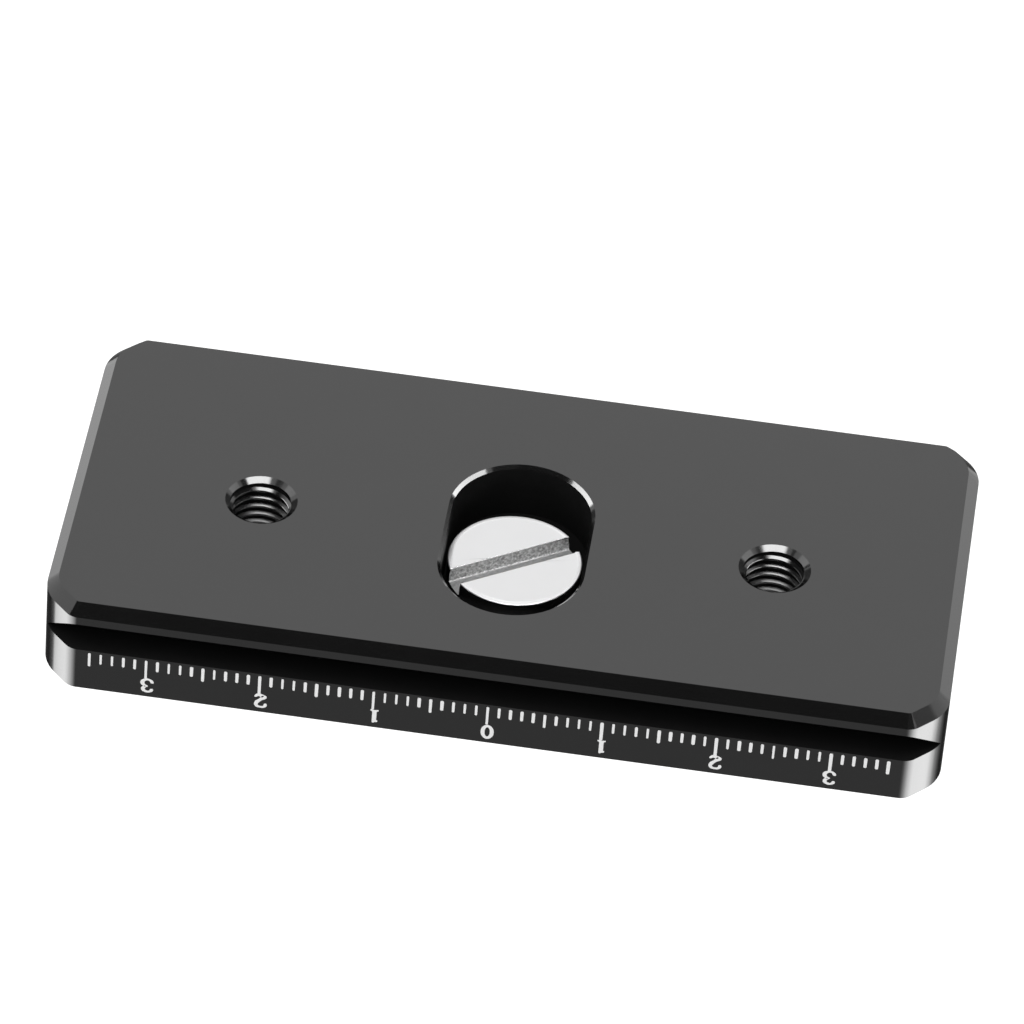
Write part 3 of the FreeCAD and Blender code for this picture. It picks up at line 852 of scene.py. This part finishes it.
# %% [markdown]
# Each outline becomes a flat filled curve, which is made a mesh and then set on the face. The numbers
# read upright with the camera side up, so here they stand on their heads. On the real scale each sits
# a little beside its tick.

# %% Numbers
PLACES = ((-30, "3", 0.17), (-20, "2", 0.17), (-10, "1", 0.17), (0, "0", 0.1), (10, "1", 0.09),
          (20, "2", 0.09), (30, "3", 0.05))
NUMBER_LOW = -7.03
NUMBER_PROUD = 0.006
NUMBER_SCALE = 1.02
HALF_THICK = 0.03
ON_THEIR_HEADS = Matrix(((-1, 0, 0, 0), (0, 0, -1, 0), (0, -1, 0, 0), (0, 0, 0, 1)))


def number_curve(digit):
    curve = bpy.data.curves.new("number", "CURVE")
    curve.dimensions = "2D"
    curve.fill_mode = "BOTH"
    curve.resolution_u = 5
    curve.extrude = HALF_THICK
    rings, bend = rings_of(digit)
    for ring_points in rings:
        spline = curve.splines.new("BEZIER")
        spline.bezier_points.add(len(ring_points) - 1)
        for knot, (x, y) in zip(spline.bezier_points, ring_points):
            knot.co = (x, y, 0)
            knot.handle_left_type = knot.handle_right_type = bend
        spline.use_cyclic_u = True
    return curve


def numbers():
    shape = bmesh.new()
    for x, digit, beside in PLACES:
        holder = bpy.data.objects.new("number", number_curve(digit))
        flat = bpy.data.meshes.new_from_object(holder)
        stand = Vector((x + beside, SCALE_FACE - NUMBER_PROUD + HALF_THICK, NUMBER_LOW)) * MM
        flat.transform(Matrix.Translation(stand) @ Matrix.Scale(MM * NUMBER_SCALE, 4)
                       @ ON_THEIR_HEADS)
        shape.from_mesh(flat)
        bpy.data.objects.remove(holder)
    bmesh.ops.remove_doubles(shape, verts=shape.verts, dist=0.0005 * MM)
    bmesh.ops.recalc_face_normals(shape, faces=shape.faces)
    return shape


digits = as_piece("scale_numbers", numbers(), "plate_body", PAINT)
report(digits)

# %% [markdown]
# ## The camera
# A long lens from far away gives the flat perspective of a product photograph. Its place and turn were
# worked out from the scale's ticks and the plate's edges, so the plate lands where the photograph
# has it.

# %% Camera
camera_data = bpy.data.cameras.new("camera")
camera_data.sensor_width = 36.0
camera_data.lens = 268.338
camera_data.clip_start = 0.05
camera_data.clip_end = 20.0
camera = bpy.data.objects.new("camera", camera_data)
right = Vector((0.9895211, 0.1303720, 0.0620576))
down = Vector((0.1321772, -0.6449184, -0.7527346))
ahead = right.cross(down)
camera.matrix_world = Matrix((
    (right.x, -down.x, -ahead.x, 38.2424 * MM),
    (right.y, -down.y, -ahead.y, -505.6689 * MM),
    (right.z, -down.z, -ahead.z, 441.1765 * MM),
    (0, 0, 0, 1)))
bpy.context.scene.collection.objects.link(camera)
bpy.context.scene.camera = camera
print("camera looks along", [round(x, 3) for x in ahead])

# %% [markdown]
# ## Studio
# The photograph is a cut-out on pure white. A white world is the plain way to get that, and the metal
# then shows white too. For matt surfaces the world is dimmer, so that they keep some shade. A pale
# floor lies well below, because the plate is held by its foot and its screw stands out underneath, so
# it rests on nothing.

# %% World and floor
WHITE = 1.0
DAYLIGHT = 0.62
FLOOR_HEIGHT = -500
FLOOR_HALF = 3.0


def seen_directly(finish):
    """1 for the rays that should show the background: from the camera, off gloss, through glass."""
    path = finish.node("ShaderNodeLightPath")
    outputs = path.socket.node.outputs
    rays = [Value(finish, outputs[n]) for n in
            ("Is Camera Ray", "Is Glossy Ray", "Is Transmission Ray")]
    return finish.node("ShaderNodeMath", {0: rays[0] + rays[1], 1: rays[2]}, operation="ADD",
                       use_clamp=True)


def studio_world():
    sky = Finish("white_studio", world=True)
    strength = DAYLIGHT + seen_directly(sky) * (WHITE - DAYLIGHT)
    bpy.context.scene.world = sky.ends_in(sky.node("ShaderNodeBackground", {
        "Color": grey(1.0), "Strength": strength}))


def floor_finish():
    """Matt and faintly glowing from above, and clear from below."""
    pale = Finish("pale_floor")
    matt = pale.node("ShaderNodeBsdfDiffuse", {"Color": grey(0.8)})
    lit = pale.node("ShaderNodeAddShader", {0: matt, 1: pale.glow(seen_directly(pale) * 0.6)})
    clear = pale.node("ShaderNodeBsdfTransparent")
    under = pale.node("ShaderNodeNewGeometry", output=6)
    return pale.ends_in(pale.node("ShaderNodeMixShader", {0: under, 1: lit, 2: clear}))


def stage_piece(name, shape, material):
    """A piece of the studio, which isn't part of the object."""
    mesh = bpy.data.meshes.new(name)
    shape.to_mesh(mesh)
    shape.free()
    mesh.materials.append(material)
    made = bpy.data.objects.new(name, mesh)
    bpy.context.scene.collection.objects.link(made)
    return made


studio_world()
shape = bmesh.new()
bmesh.ops.create_grid(shape, x_segments=1, y_segments=1, size=FLOOR_HALF)
bmesh.ops.translate(shape, vec=Vector((0, 0, FLOOR_HEIGHT)) * MM, verts=shape.verts)
stage_piece("floor", shape, floor_finish())

# %% [markdown]
# The black faces take their tone from what they mirror, as in any photograph of glossy black. Cards
# do that in a studio. Each card here is a glowing sheet that shows in reflections only, so it tones
# one face and takes no light from the others. A card is set out from the place on the plate that
# mirrors it, between two directions, which is how a photographer walks a card into a reflection.

# %% One card
def card_finish(name, level):
    tone = Finish(name)
    return tone.ends_in(tone.glow(level))


def only_in_reflections(thing):
    thing.visible_camera = False
    thing.visible_diffuse = False
    thing.visible_transmission = False
    thing.visible_shadow = False


def towards(azimuth, elevation):
    """A direction from the plate; azimuth 0 is the front, 90 the right."""
    a, e = math.radians(azimuth), math.radians(elevation)
    return Vector((math.sin(a) * math.cos(e), -math.cos(a) * math.cos(e), math.sin(e)))


def card(name, place, start, stop, distance, breadth, level):
    """A sheet between two directions from a place on the plate, distance and breadth in mm."""
    near, far = (Vector(place) + distance * towards(*way) for way in (start, stop))
    middle = (near + far) / 2
    along = (far - near).normalized()
    facing = (Vector(place) - middle).normalized()
    side = facing.cross(along)
    shape = bmesh.new()
    bmesh.ops.create_grid(shape, x_segments=1, y_segments=1, size=0.5)
    bmesh.ops.scale(shape, vec=Vector(((far - near).length, breadth, 1)) * MM, verts=shape.verts)
    frame_of_card = Matrix((along, side, facing)).transposed()
    bmesh.ops.rotate(shape, cent=(0, 0, 0), matrix=frame_of_card, verts=shape.verts)
    bmesh.ops.translate(shape, vec=middle * MM, verts=shape.verts)
    only_in_reflections(stage_piece(name, shape, card_finish(name, level)))


# %% [markdown]
# The wide dark cards in front are what the front chamfer mirrors, and the high ones keep the threads'
# flanks dark. Small dark ones break up the light on the holes' rings and on the recess's edge. Grey
# and pale cards tone the end chamfers, the rings' sides and the head's rim, and two bright strips draw
# the lines along the recess's broken edge.

# %% All the cards
MIDDLE = (0, 0, 0)
RECESS = (0, 4, 0)
LEFT_END = (-39, 0, 0)
RIGHT_END = (39, 0, 0)
CARDS = {
    "dark_lens_card": (MIDDLE, (-27, 45), (17, 46), 500, 240, 0.045),
    "dark_left_card": (MIDDLE, (-72, 40), (-26, 44), 520, 230, 0.05),
    "dark_right_card": (MIDDLE, (16, 46), (60, 41), 520, 230, 0.1),
    "dark_left_edge": (MIDDLE, (-60, 58), (-76, 57), 500, 60, 0.3),
    "dark_right_edge": (MIDDLE, (78, 56), (94, 52), 500, 60, 0.2),
    "dark_left_back": (MIDDLE, (-124, 14), (-162, 5), 500, 180, 0.15),
    "dark_right_back": (MIDDLE, (126, 16), (164, 8), 500, 170, 0.15),
    "left_high_card": (MIDDLE, (-72, 68), (-133, 29), 480, 125, 0.05),
    "right_high_card": (MIDDLE, (80, 67), (136, 34), 480, 125, 0.05),
    "grey_right_card": (RIGHT_END, (68, 35), (94, 34), 520, 120, 0.4),
    "left_end_card": (LEFT_END, (-127, -7.5), (-151, -7.5), 400, 56, 1.5),
    "right_end_card": (RIGHT_END, (127, -1), (151, -1), 400, 56, 1.2),
    "left_fill_card": (MIDDLE, (-92, 45), (-120, 30), 450, 80, 1.9),
    "right_fill_card": (MIDDLE, (100, 45), (128, 29), 450, 80, 1.9),
    "head_front_card": (MIDDLE, (145, 52), (205, 52), 520, 50, 1.6),
    "head_back_card": (MIDDLE, (150, 31), (200, 31), 520, 50, 1.6),
    "left_rim_strip": (RECESS, (-75, 34), (-116, 13), 250, 18, 11.0),
    "right_rim_strip": (RECESS, (70, 39.5), (127, 11.5), 250, 18, 11.0),
}
for name, setting in CARDS.items():
    card(name, *setting)
print("cards set out:", len(CARDS))

# %% [markdown]
# One long soft box hangs over the front edge. The threads' crests, the holes' mouths and the screw's
# rim mirror it. Its light falls off at both ends, as a real one's does.

# %% Soft box overhead
BOX_HEIGHT = 500
BOX_LEFT, BOX_RIGHT = -0.34, 0.62
BOX_FRONT, BOX_BACK = -0.45, -0.12
BOX_FADE = 0.12
BOX_LEVEL = 11.2


def overhead_finish():
    box = Finish("overhead_box")
    across = box.part_of(box.place(), "X")
    unit = BOX_HEIGHT * MM
    rise = box.run(across, BOX_LEFT * unit, (BOX_LEFT + BOX_FADE) * unit)
    fall = box.run(across, BOX_RIGHT * unit, (BOX_RIGHT - BOX_FADE) * unit)
    return box.ends_in(box.glow(rise * fall * BOX_LEVEL))


def overhead_box():
    """A level sheet whose edges are given as shares of its height."""
    shape = bmesh.new()
    bmesh.ops.create_grid(shape, x_segments=1, y_segments=1, size=0.5)
    size = Vector((BOX_RIGHT - BOX_LEFT, BOX_BACK - BOX_FRONT, 1))
    middle = Vector(((BOX_LEFT + BOX_RIGHT) / 2, (BOX_FRONT + BOX_BACK) / 2, 1))
    bmesh.ops.scale(shape, vec=size * BOX_HEIGHT * MM, verts=shape.verts)
    bmesh.ops.translate(shape, vec=middle * BOX_HEIGHT * MM, verts=shape.verts)
    only_in_reflections(stage_piece("overhead_box", shape, overhead_finish()))


overhead_box()

# %% [markdown]
# Below the plate a round tent of cloth closes the studio. Its cloth is grey in front, where the scale
# side mirrors it, glows at both sides, which draws the bright fall-off on the corners, and is dark
# behind. The tent is a zone of a sphere, and its glow depends on the compass direction alone.

# %% Tent below
TENT_RADIUS = 420
GLOW_MIDDLE = math.sin(math.radians(41))
GREY_CLOTH = ((-180, 0.14), (-154, 0.2), (-142, 0.05), (-110, 0.05), (-60, 0.2), (-16, 0.33),
              (8, 0.33), (60, 0.2), (120, 0.05), (146, 0.04), (160, 0.12), (180, 0.2))
GLOW = ((-118, 0.0), (-104, 0.25), (-99.5, 1.6), (-97, 4.0), (-92, 5.0), (-72, 5.2), (-52, 4.0),
        (-36, 2.1), (-22, 0.0), (12, 0.0), (20, 0.45), (36, 2.3), (54, 5.1), (74, 6.4), (89, 6.2),
        (97, 3.6), (108, 1.1), (120, 0.25), (130, 0.0))


def compass_ramp(cloth, turn, stops):
    """A value that follows the compass direction; stops are (azimuth, level)."""
    most = max(level for azimuth, level in stops)
    colours = [((azimuth + 180) / 360, (level / most,) * 3) for azimuth, level in stops]
    return cloth.node("ShaderNodeValToRGB", {"Fac": turn}, stops=colours) * most


def tent_finish():
    """Grey cloth all round, with the glow in one band below the plate."""
    cloth = Finish("tent_cloth")
    here = cloth.node("ShaderNodeTexCoord", output=3)
    x, y, z = [cloth.part_of(here, axis) for axis in "XYZ"]
    turn = x.maths("ARCTAN2", x, 0.0 - y) / (2 * math.pi) + 0.5
    from_middle = z / (TENT_RADIUS * MM) + GLOW_MIDDLE
    band = cloth.run(from_middle.maths("ABSOLUTE", from_middle), 0.15, 0.10)
    level = compass_ramp(cloth, turn, GREY_CLOTH) + compass_ramp(cloth, turn, GLOW) * band
    return cloth.ends_in(cloth.glow(level))


def tent():
    rise = [math.radians(e) for e in range(-66, -13, 4)]
    profile = [(TENT_RADIUS * math.cos(e), TENT_RADIUS * math.sin(e)) for e in rise]
    shape = bmesh.new()
    line = line_through(shape, Vector((0, 0, 0)), profile)
    bmesh.ops.spin(shape, geom=line, cent=(0, 0, 0), axis=(0, 0, 1), angle=2 * math.pi, steps=72,
                   use_merge=True)
    only_in_reflections(stage_piece("tent", shape, tent_finish()))


tent()

# %% [markdown]
# Two plain lamps give the light that matt surfaces need: the paint, the rubber and the floor. They
# stay out of reflections, where the cards already are.

# %% Lamps
def soft_lamp(name, azimuth, elevation, distance, size, power):
    data = bpy.data.lights.new(name, "AREA")
    data.size = size * MM
    data.energy = power
    lamp = bpy.data.objects.new(name, data)
    place = towards(azimuth, elevation) * distance * MM
    aim = (-place).to_track_quat("-Z", "Y").to_matrix()
    lamp.matrix_world = Matrix.Translation(place) @ aim.to_4x4()
    bpy.context.scene.collection.objects.link(lamp)
    lamp.visible_camera = False
    lamp.visible_glossy = False
    print(name, "gives", power, "W from", distance, "mm away")


soft_lamp("lamp_front", -30, 50, 900, 500, 3.7)
soft_lamp("lamp_back", 150, 55, 900, 500, 2.0)

# %% [markdown]
# The picture keeps Blender's plain view transform, so a colour shows as it is written.

# %% View transform
bpy.context.scene.view_settings.view_transform = "Standard"
